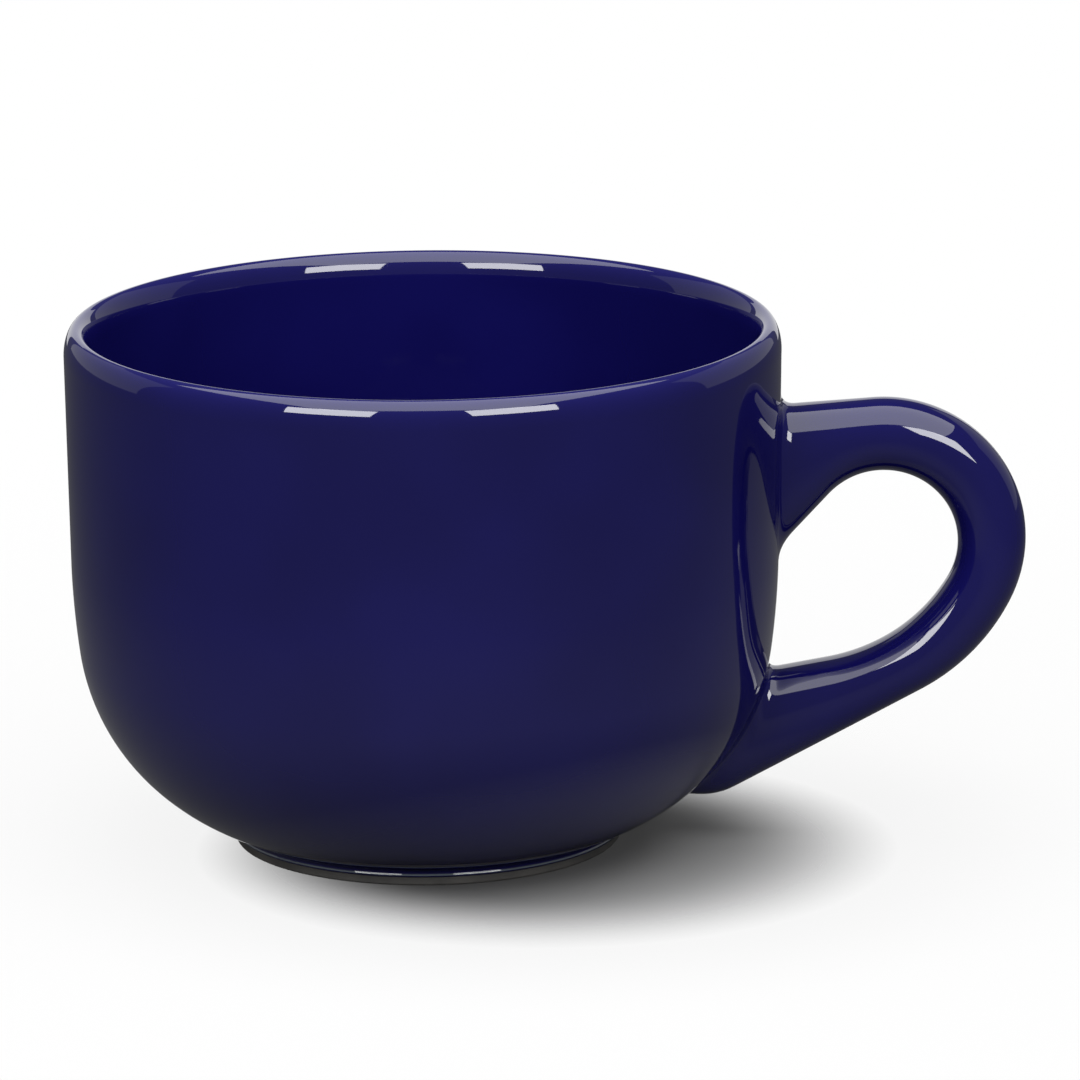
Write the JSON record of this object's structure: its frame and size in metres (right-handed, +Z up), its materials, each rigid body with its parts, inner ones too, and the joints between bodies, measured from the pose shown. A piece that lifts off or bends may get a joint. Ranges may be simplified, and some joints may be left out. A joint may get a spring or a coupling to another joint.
{
  "type": "latte mug",
  "caption": "Wide straight-walled stoneware mug with a rounded belly, a low foot ring and a luted loop handle, in cobalt glaze, for milky coffee.",
  "frame": {"origin": "centre of the foot ring on the table that the mug stands on", "axes": "+Z up along the cup's axis, +X towards the handle, +Y to the back when the handle is on the right"},
  "size_m": [0.1448, 0.108, 0.0796],
  "materials": {
    "stoneware": "bare fired clay, matt",
    "cobalt_glaze": "glossy cobalt glaze"
  },
  "bodies": {
    "root": {"cup_body": "stoneware", "handle": "stoneware", "upper_joint_slip": "stoneware", "lower_joint_slip": "stoneware", "cup_glaze": "cobalt_glaze", "handle_glaze": "cobalt_glaze", "base_glaze": "cobalt_glaze"}
  },
  "joints": []
}
